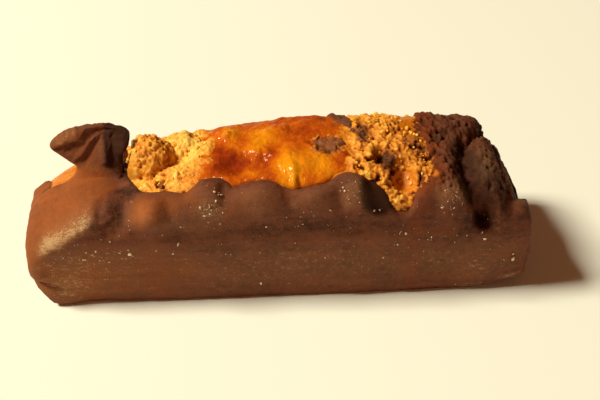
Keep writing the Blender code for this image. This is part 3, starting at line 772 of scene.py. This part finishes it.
def pebbles(centres, sizes, out, seed, rings=4, around=7, uneven=0.7):
    """Small uneven pebbles: spheres whose radius wanders, flattened against their surface."""
    rise = np.linspace(-math.pi / 2, math.pi / 2, rings + 2)[1:-1]
    turn = np.linspace(0, 2 * math.pi, around, endpoint=False)
    rise, turn = np.meshgrid(rise, turn, indexing="ij")
    ball = np.stack([np.cos(rise) * np.cos(turn), np.cos(rise) * np.sin(turn), np.sin(rise)], -1)
    ball = np.concatenate([ball.reshape(-1, 3), [[0, 0, -1], [0, 0, 1]]])
    count, each = len(centres), len(ball)
    key = np.stack(np.meshgrid(np.arange(count), np.arange(each), [0], indexing="ij"), -1)[:, :, 0]
    longer = np.stack([hash_unit(key[:, :1], seed + k) for k in range(3)], -1)
    radius = 0.75 + 0.5 * hash_unit(key, seed + 5)
    shape = ball[None] * radius[..., None] * (1 + uneven * (longer - 0.5))
    side = np.cross(out, np.array([0.31, 0.52, 0.79]))
    side = side / np.linalg.norm(side, axis=-1, keepdims=True)
    other = np.cross(out, side)
    points = (centres[:, None] + sizes[:, None, None] * (
        shape[..., 0:1] * side[:, None] + shape[..., 1:2] * other[:, None]
        + shape[..., 2:3] * out[:, None] * 0.8))
    one = ring_faces(rings, around)
    faces = [[v + each * n for v in face] for n in range(count) for face in one]
    return points.reshape(-1, 3), faces


def surface_place(radius_at, x, degrees):
    """The point and the direction straight out of a surface at each x and angle."""
    angle = np.radians(degrees)
    places = ((x, angle), (x + STEP_ALONG, angle), (x, angle + STEP_AROUND))
    centre, along, around = (point_at(*place, radius_at(*place)) for place in places)
    out = np.cross(around - centre, along - centre)
    return centre, out / np.linalg.norm(out, axis=-1, keepdims=True)


def crumbs_shape(count, size):
    """Loose crumbs on the bare top, drawn by seeded chance where the crumb is open."""
    draw = np.random.default_rng(5)
    x, degrees = draw.uniform(-40, 33, count * 6), draw.uniform(-60, 48, count * 6)
    inset = bare_inset(x, np.radians(degrees))
    free = (inset > -0.2) & (glaze_inset(x, degrees) < 0.5)
    x, degrees = x[free][:count], degrees[free][:count]
    centre, out = surface_place(biscuit_radius, x, degrees)
    sizes = size * (0.4 + 0.7 * draw.random(len(x)) ** 2)
    points, faces = pebbles(centre + out * sizes[:, None] * 0.3, sizes, out, seed=131)
    tone = np.repeat(draw.uniform(-0.5, 0.9, len(x)), len(points) // len(x))
    return points, faces, {"relief": 0 * tone + 0.6, "glazed": 0 * tone, "toast": tone}


def chips_shape(count, size):
    """Pale chips on the coat: the larger ones by name, and a dust of specks by seeded chance."""
    draw = np.random.default_rng(9)
    x = draw.uniform(-50, 52, count)
    degrees = 66 + draw.normal(0, 17, count)
    for place, angle, length, turn, many in CLUSTERS:
        x = np.concatenate([x, place + length * draw.normal(0, 0.5, many)])
        degrees = np.concatenate([degrees, angle + turn * draw.normal(0, 0.5, many)])
    angle = np.radians(degrees)
    height = AXIS_HEIGHT + coat_radius(x, angle) * np.cos(angle)
    clear = (bare_inset(x, angle) < -2) & (height > 0.8)
    named = np.array(CHIPS)
    x = np.concatenate([named[:, 0], x[clear]])
    degrees = np.concatenate([named[:, 1], degrees[clear]])
    sizes = np.concatenate([named[:, 2] * 0.8, size * (0.35 + 0.9 * draw.random(clear.sum()) ** 4)])
    centre, out = surface_place(coat_radius, x, degrees)
    return *pebbles(centre + out * sizes[:, None] * 0.2, sizes, out, seed=141, rings=3, around=6,
                    uneven=1.6), {}


# ---------------------------------------------------------------- finishes

def join(tree, node, inputs):
    """Fill a node's inputs; each is a socket to join or a value to set."""
    for key, value in inputs.items():
        if isinstance(value, bpy.types.NodeSocket):
            tree.links.new(value, node.inputs[key])
        else:
            node.inputs[key].default_value = value


def put(tree, kind, inputs=None, **settings):
    """A new node with its settings and inputs."""
    made = tree.nodes.new(kind)
    for name, value in settings.items():
        setattr(made, name, value)
    join(tree, made, inputs or {})
    return made


def ramp(tree, factor, stops):
    """A colour ramp; stops are (place, colour)."""
    made = tree.nodes.new("ShaderNodeValToRGB")
    tree.links.new(factor, made.inputs[0])
    band = made.color_ramp
    while len(band.elements) < len(stops):
        band.elements.new(0.5)
    for element, (place, color) in zip(band.elements, stops):
        element.position = place
        element.color = (*color[:3], 1.0)
    return made.outputs["Color"]


def mix(tree, factor, a, b):
    """Two colours mixed."""
    a, b = (c if isinstance(c, bpy.types.NodeSocket) else (*c[:3], 1.0) for c in (a, b))
    return put(tree, "ShaderNodeMix", {0: factor, 6: a, 7: b}, data_type="RGBA").outputs[2]


def reckon(tree, operation, a, b):
    """The result of arithmetic on two values."""
    return put(tree, "ShaderNodeMath", {0: a, 1: b}, operation=operation).outputs[0]


def sum_of(tree, *terms):
    """A sum of (value, weight) terms."""
    total = None
    for value, weight in terms:
        term = reckon(tree, "MULTIPLY", value, weight)
        total = term if total is None else reckon(tree, "ADD", total, term)
    return total


def stretch(tree, value, low, high, to_low=0.0, to_high=1.0):
    """A value moved from one range to another and kept inside it."""
    return put(tree, "ShaderNodeMapRange", {
        "Value": value, "From Min": low, "From Max": high, "To Min": to_low,
        "To Max": to_high}).outputs["Result"]


def speckle(tree, where, scale, detail, roughness=0.6):
    """Soft noise from 0 to 1 at a place."""
    return put(tree, "ShaderNodeTexNoise", {"Vector": where, "Scale": scale, "Detail": detail,
                                            "Roughness": roughness}).outputs["Fac"]


def mottle_group():
    """Mottling: soft noise at a size and a finer one, from 0 to 1."""
    name = "mottle"
    if name in bpy.data.node_groups:
        return bpy.data.node_groups[name]
    tree = bpy.data.node_groups.new(name, "ShaderNodeTree")
    for socket, way in (("Size", "INPUT"), ("Value", "OUTPUT"), ("Fine", "OUTPUT")):
        tree.interface.new_socket(socket, in_out=way, socket_type="NodeSocketFloat")
    inlet, outlet = put(tree, "NodeGroupInput"), put(tree, "NodeGroupOutput")
    where = put(tree, "ShaderNodeTexCoord").outputs["Object"]
    scale = reckon(tree, "DIVIDE", 1.0, inlet.outputs["Size"])
    finer = reckon(tree, "MULTIPLY", scale, 5.0)
    join(tree, outlet, {"Value": speckle(tree, where, scale, 4.0),
                        "Fine": speckle(tree, where, finer, 3.0, 0.65)})
    return tree


def mottle(tree, size):
    """The mottling at a size in metres."""
    made = put(tree, "ShaderNodeGroup", {"Size": size}, node_tree=mottle_group())
    return made.outputs["Value"], made.outputs["Fine"]


def marked(tree, name):
    """The value of a named mark on the mesh."""
    return put(tree, "ShaderNodeAttribute", attribute_name=name).outputs["Fac"]


def new_material(name):
    """A material and its Principled shader."""
    material = bpy.data.materials.new(name)
    material.use_nodes = True
    return material, material.node_tree, material.node_tree.nodes["Principled BSDF"]


def bump(tree, height, strength, depth):
    """A normal bent by a height, as deep as a length in metres."""
    return put(tree, "ShaderNodeBump", {"Height": height, "Strength": strength,
                                        "Distance": depth}).outputs[0]


def scaled(color, share):
    """A colour with a share of its light."""
    return [c * share for c in color]


def crumb_material(settings):
    """Baked crumb: pale on its tops and brown in its pores, which is partly painted light and
    painted shade, toasted below, and slick where glazed.
    """
    if "baked_crumb_finish" in bpy.data.materials:
        return bpy.data.materials["baked_crumb_finish"]
    material, tree, shader = new_material("baked_crumb_finish")
    value, fine = mottle(tree, 0.004)
    small, grit = mottle(tree, 0.0012)
    relief, toast, glazed = (marked(tree, name) for name in ("relief", "toast", "glazed"))
    # Painted light and shade: the relief makes the crumb's tops paler and its pores darker.
    tone = sum_of(tree, (relief, -0.65), (toast, 0.45), (value, 0.5), (small, 0.8), (grit, 0.7))
    color = ramp(tree, stretch(tree, tone, 0.38, 1.88), [
        (0.0, settings.pale), (0.32, settings.golden), (0.60, settings.toasted),
        (0.85, settings.dark), (1.0, scaled(settings.dark, 0.5))])
    color = mix(tree, stretch(tree, glazed, 0.0, 1.0, 0.0, 0.8), color, settings.soaked)
    height = sum_of(tree, (fine, 0.5), (grit, 0.5))
    join(tree, shader, {
        "Base Color": color, "Roughness": stretch(tree, glazed, 0.2, 0.9, 0.55, 0.2),
        "Specular IOR Level": 0.25, "Normal": bump(tree, height, 0.55, 0.0005)})
    return material


def glaze_material(settings):
    """Amber glaze: yellow where it is thin, red-brown where it is deep, and glossy all over."""
    material, tree, shader = new_material("amber_glaze_finish")
    depth = marked(tree, "depth")
    value, fine = mottle(tree, 0.003)
    small, grit = mottle(tree, 0.0010)
    tone = sum_of(tree, (depth, 1.0), (value, 0.35), (small, 0.7), (grit, 1.1))
    color = ramp(tree, stretch(tree, tone, 0.68, 2.60), [
        (0.0, settings.thin), (0.40, settings.amber), (0.72, settings.deep),
        (1.0, scaled(settings.deep, 0.6))])
    height = sum_of(tree, (fine, 0.5), (grit, 0.8))
    join(tree, shader, {
        "Base Color": color, "Roughness": stretch(tree, fine, 0.3, 0.7, 0.45, 0.65),
        "Specular IOR Level": 0.05, "Coat Weight": 0.18, "Coat Roughness": 0.1,
        "Normal": bump(tree, height, 0.8, 0.0004)})
    return material


def chocolate_material(settings):
    """Chocolate: streaked along the dip, paler and drier where dusty, redder where thin, with
    painted light on lit faces, painted shade in hollows and on faces turned from the light, and
    darker painted pits.
    """
    if "chocolate_finish" in bpy.data.materials:
        return bpy.data.materials["chocolate_finish"]
    material, tree, shader = new_material("chocolate_finish")
    value, fine = mottle(tree, 0.007)
    small, grit = mottle(tree, 0.0013)
    where = put(tree, "ShaderNodeTexCoord").outputs["Object"]
    along = put(tree, "ShaderNodeMapping", {"Vector": where, "Scale": (60.0, 700.0, 700.0)})
    streak = speckle(tree, along.outputs[0], 1.0, 3.0)
    bloom, facet, rough, thin = (marked(tree, n) for n in ("bloom", "facet", "rough", "thin"))
    # Painted light and shade: the facet mark moves the tone, down to a painted shade colour and up
    # to a painted lit colour.
    tone = sum_of(tree, (value, 0.6), (streak, 0.3), (fine, 0.3), (facet, 0.5), (small, 0.5),
                  (grit, 0.8))
    color = ramp(tree, stretch(tree, tone, 0.92, 1.96), [
        (0.0, scaled(settings.dark, 0.28)), (0.35, settings.dark),
        (0.65, scaled(settings.lit_chocolate, 0.85)), (1.0, scaled(settings.lit_chocolate, 1.2))])
    film = sum_of(tree, (thin, 1.0), (small, 0.6), (grit, 0.4))
    color = mix(tree, stretch(tree, film, 0.8, 1.5, 0.0, 0.9), color, settings.film)
    color = mix(tree, stretch(tree, film, 1.9, 2.3, 0.0, 0.85), color, settings.soaked)
    # Painted shade: the rough end is painted darker, most in its pits.
    shaded_pits = sum_of(tree, (rough, 1.0), (small, 0.7), (grit, 0.5))
    color = mix(tree, stretch(tree, shaded_pits, 0.9, 1.5, 0.0, 0.85), color,
                scaled(settings.dark, 0.35))
    brushed = put(tree, "ShaderNodeMapping", {"Vector": where, "Rotation": (0.0, 0.55, 0.0),
                                              "Scale": (500.0, 2600.0, 2600.0)})
    scratch = speckle(tree, brushed.outputs[0], 1.0, 2.0)
    color = mix(tree, stretch(tree, bloom, 0.0, 1.2, 0.0, 0.20), color, settings.bloom)
    dust = sum_of(tree, (bloom, 0.36), (small, 0.6), (grit, 1.0), (scratch, 0.6))
    color = mix(tree, stretch(tree, dust, 1.44, 1.60, 0.0, 0.85), color, settings.bloom)
    dull = sum_of(tree, (small, 0.25), (bloom, 0.25), (rough, -0.18), (facet, 0.02))
    height = sum_of(tree, (grit, 0.7), (small, 0.7), (streak, 0.35))
    join(tree, shader, {
        "Base Color": color, "Roughness": stretch(tree, dull, 0.0, 0.6, 0.52, 0.8),
        "Specular IOR Level": 0.07, "Normal": bump(tree, height, 0.65, 0.0004)})
    return material


def chip_material(settings):
    """Pale chips: dusty cream flecks."""
    material, tree, shader = new_material("pale_chip_finish")
    value, fine = mottle(tree, 0.0015)
    color = mix(tree, value, settings.chip, scaled(settings.chip, 0.6))
    join(tree, shader, {"Base Color": color,
                        "Roughness": stretch(tree, fine, 0.3, 0.7, 0.5, 0.8)})
    return material


def floor_material(settings):
    """Pale floor: one soft colour, faintly mottled."""
    material, tree, shader = new_material("floor_finish")
    value, _ = mottle(tree, 0.05)
    color = mix(tree, value, settings.floor, scaled(settings.floor, 0.985))
    join(tree, shader, {"Base Color": color, "Roughness": 0.8, "Specular IOR Level": 0.2})
    return material


# ---------------------------------------------------------------- what a user would change

def color_property(name, description, default):
    """A colour."""
    return bpy.props.FloatVectorProperty(name=name, description=description, default=default,
                                         size=3, min=0.0, max=1.0, subtype="COLOR")


def length_property(name, description, default):
    """A length in metres."""
    return bpy.props.FloatProperty(name=name, description=description, default=default, min=0.0,
                                   max=10.0, precision=5, subtype="DISTANCE", unit="LENGTH")


def power_property(name, description, default):
    """A power in watts."""
    return bpy.props.FloatProperty(name=name, description=description, default=default, min=0.0,
                                   subtype="POWER", unit="POWER")


def count_property(name, description, default):
    """A number of things."""
    return bpy.props.IntProperty(name=name, description=description, default=default, min=1,
                                 max=2000)


class BiscottiCrumbSettings(bpy.types.PropertyGroup):
    """The baked crumb and what lies loose on it."""

    # The colours of the tops and of the pores carry painted light and painted shade as well as the
    # crumb's own colour.
    pale: color_property("Pale crumb", "Colour of the crumb's tops", (1.0, 0.62, 0.12))
    golden: color_property("Golden crumb", "Main colour of the crumb", (0.85, 0.32, 0.025))
    toasted: color_property("Toasted crumb", "Colour of the browned crumb", (0.46, 0.125, 0.010))
    dark: color_property("Dark crumb", "Colour in the pores", (0.15, 0.037, 0.005))
    soaked: color_property("Soaked crumb", "Colour where glaze has soaked in", (0.62, 0.17, 0.006))
    crumb_count: count_property("Loose crumbs", "How many loose crumbs", 320)
    crumb_size: length_property("Crumb size", "Half width of a large loose crumb", 0.0005)


class BiscottiGlazeSettings(bpy.types.PropertyGroup):
    """The amber glaze."""

    thin: color_property("Thin glaze", "Colour where the glaze is thin", (0.90, 0.31, 0.004))
    amber: color_property("Amber", "Main colour of the glaze", (0.62, 0.115, 0.002))
    deep: color_property("Deep glaze", "Colour where it is deep", (0.33, 0.032, 0.002))


class BiscottiChocolateSettings(bpy.types.PropertyGroup):
    """The chocolate coat, peak, smears and chips."""

    # Painted light: the coat's lit places are painted towards this colour.
    lit_chocolate: color_property("Lit chocolate", "Colour of the smooth lit coat", (0.268, 0.071, 0.0185))
    dark: color_property("Dark chocolate", "Colour of the darker coat", (0.168, 0.054, 0.027))
    film: color_property("Thin film", "Colour where the coat is a film", (0.20, 0.036, 0.006))
    soaked: color_property("Soaked film", "Colour where crumb shows through", (0.62, 0.17, 0.012))
    bloom: color_property("Bloom", "Colour of the dusty bloom", (0.52, 0.33, 0.17))
    chip: color_property("Chip", "Colour of the pale chips", (0.88, 0.72, 0.46))
    chip_count: count_property("Specks", "How many small specks", 130)
    chip_size: length_property("Speck size", "Half width of a large speck", 0.00020)


class BiscottiStageSettings(bpy.types.PropertyGroup):
    """The floor, the light and the camera."""

    floor: color_property("Floor", "Colour of the floor", (0.92, 0.91, 0.85))
    backdrop: color_property("Backdrop", "Colour seen past the floor", (0.62, 0.55, 0.40))
    ambient: color_property("Ambient", "Colour of the light from all round", (0.125, 0.043, 0.014))
    key_color: color_property("Key colour", "Colour of the main light", (1.0, 0.975, 0.75))
    key_power: power_property("Key power", "Power of the main light", 52.0)
    key_size: length_property("Key size", "Width of the main light", 0.46)
    fill_power: power_property("Fill power", "Power of the fill light", 1.3)


class BiscottiOperator:
    """What the operators share."""

    bl_options = {"REGISTER", "UNDO"}


class BISCOTTI_OT_biscuit(BiscottiOperator, bpy.types.Operator):
    """Make the baked biscuit with its open crumb"""

    bl_idname = "biscotti.biscuit"
    bl_label = "Biscuit"

    def execute(self, context):
        material = crumb_material(context.scene.biscotti_crumb)
        make_piece("baked_biscuit", biscuit_shape(), material, ["biscuit"])
        return {"FINISHED"}


class BISCOTTI_OT_glaze(BiscottiOperator, bpy.types.Operator):
    """Make the amber glaze on the top"""

    bl_idname = "biscotti.glaze"
    bl_label = "Amber glaze"

    def execute(self, context):
        material = glaze_material(context.scene.biscotti_glaze)
        make_piece("amber_glaze", glaze_shape(), material)
        return {"FINISHED"}


class BISCOTTI_OT_coat(BiscottiOperator, bpy.types.Operator):
    """Make the chocolate coat and its peak"""

    bl_idname = "biscotti.coat"
    bl_label = "Chocolate coat"

    def execute(self, context):
        material = chocolate_material(context.scene.biscotti_chocolate)
        make_piece("dipped_coat", coat_shape(), material, ["chocolate_coat"])
        make_piece("folded_peak", peak_shape(), material)
        return {"FINISHED"}


class BISCOTTI_OT_smear(BiscottiOperator, bpy.types.Operator):
    """Make the smears of chocolate on the top"""

    bl_idname = "biscotti.smear"
    bl_label = "Chocolate smears"

    def execute(self, context):
        material = chocolate_material(context.scene.biscotti_chocolate)
        make_piece("chocolate_smear", smear_shape(), material)
        return {"FINISHED"}


class BISCOTTI_OT_crumbs(BiscottiOperator, bpy.types.Operator):
    """Scatter loose crumbs over the bare top and pale chips over the coat"""

    bl_idname = "biscotti.crumbs"
    bl_label = "Crumbs and chips"

    def execute(self, context):
        crumb, chocolate = context.scene.biscotti_crumb, context.scene.biscotti_chocolate
        shape = crumbs_shape(crumb.crumb_count, crumb.crumb_size / MM)
        make_piece("loose_crumbs", shape, crumb_material(crumb))
        shape = chips_shape(chocolate.chip_count, chocolate.chip_size / MM)
        make_piece("pale_chips", shape, chip_material(chocolate))
        return {"FINISHED"}


class BISCOTTI_OT_stage(BiscottiOperator, bpy.types.Operator):
    """Make the floor, the lights and the camera"""

    bl_idname = "biscotti.stage"
    bl_label = "Stage"

    def execute(self, context):
        scene = context.scene
        settings = scene.biscotti_stage
        mesh = bpy.data.meshes.new("floor")
        far = FLOOR_HALF
        mesh.from_pydata([(-far, -far, 0), (far, -far, 0), (far, far, 0), (-far, far, 0)],
                         [], [(0, 1, 2, 3)])
        mesh.materials.append(floor_material(settings))
        floor = bpy.data.objects.new("floor", mesh)
        scene.collection.objects.link(floor)
        add_light("key_light", KEY_PLACE, settings.key_power, settings.key_size,
                  settings.key_color)
        add_light("fill_light", FILL_PLACE, settings.fill_power, FILL_SIZE, FILL_COLOR)
        world = bpy.data.worlds.new("room")
        world.use_nodes = True
        tree = world.node_tree
        seen = put(tree, "ShaderNodeLightPath").outputs["Is Camera Ray"]
        join(tree, tree.nodes["Background"],
             {"Color": mix(tree, seen, settings.ambient, settings.backdrop)})
        scene.world = world
        scene.view_settings.view_transform = "Standard"
        add_camera(scene)
        return {"FINISHED"}


def facing(right, up, back, place):
    """The matrix of something at a place, with its three directions as columns."""
    columns = np.array([right, up, back, place]).T
    return Matrix(np.vstack([columns, (0, 0, 0, 1)]).tolist())


def add_light(name, place, power, size, color):
    """A square soft light that faces the middle of the bar."""
    lamp = bpy.data.lights.new(name, "AREA")
    lamp.energy, lamp.size, lamp.color = power, size, color
    light = bpy.data.objects.new(name, lamp)
    back = np.array(place) - BAR_MIDDLE
    back = back / np.linalg.norm(back)
    side = np.cross((0, 0, 1), back)
    side = side / np.linalg.norm(side)
    up = np.cross(back, side)
    light.matrix_world = facing(side, up, back, place)
    bpy.context.scene.collection.objects.link(light)


def add_camera(scene):
    """The camera, low over the front and looking down on the top."""
    right, up = (0.99634, -0.07973, 0.03082), (0.03141, 0.67685, 0.73545)
    back, place = (-0.07950, -0.73179, 0.67688), (-0.013727, -0.166346, 0.170497)
    lens = bpy.data.cameras.new("camera")
    lens.sensor_fit = "HORIZONTAL"
    lens.angle = math.radians(35.0)
    lens.clip_start = 0.01
    camera = bpy.data.objects.new("camera", lens)
    camera.matrix_world = facing(right, up, back, place)
    scene.collection.objects.link(camera)
    scene.camera = camera


PIECES = (BISCOTTI_OT_biscuit, BISCOTTI_OT_glaze, BISCOTTI_OT_coat, BISCOTTI_OT_smear,
          BISCOTTI_OT_crumbs, BISCOTTI_OT_stage)
SETTINGS = {
    "biscotti_crumb": BiscottiCrumbSettings,
    "biscotti_glaze": BiscottiGlazeSettings,
    "biscotti_chocolate": BiscottiChocolateSettings,
    "biscotti_stage": BiscottiStageSettings,
}


class BISCOTTI_PT_panel(bpy.types.Panel):
    """The biscotti's pieces and settings"""

    bl_idname = "BISCOTTI_PT_panel"
    bl_label = "Biscotti"
    bl_space_type = "VIEW_3D"
    bl_region_type = "UI"
    bl_category = "Biscotti"

    def draw(self, context):
        for piece in PIECES:
            self.layout.operator(piece.bl_idname)
        for name, group in SETTINGS.items():
            column = self.layout.column(align=True)
            for setting in group.__annotations__:
                column.prop(getattr(context.scene, name), setting)


def register():
    """Register the settings, the operators and the panel."""
    for group in SETTINGS.values():
        bpy.utils.register_class(group)
    for name, group in SETTINGS.items():
        setattr(bpy.types.Scene, name, bpy.props.PointerProperty(type=group))
    for piece in PIECES:
        bpy.utils.register_class(piece)
    bpy.utils.register_class(BISCOTTI_PT_panel)


def unregister():
    """Undo register."""
    bpy.utils.unregister_class(BISCOTTI_PT_panel)
    for piece in reversed(PIECES):
        bpy.utils.unregister_class(piece)
    for name, group in SETTINGS.items():
        delattr(bpy.types.Scene, name)
        bpy.utils.unregister_class(group)


def main():
    """Make every piece in order."""
    register()
    bpy.ops.biscotti.biscuit()
    bpy.ops.biscotti.glaze()
    bpy.ops.biscotti.coat()
    bpy.ops.biscotti.smear()
    bpy.ops.biscotti.crumbs()
    bpy.ops.biscotti.stage()


if __name__ == "__main__":
    main()
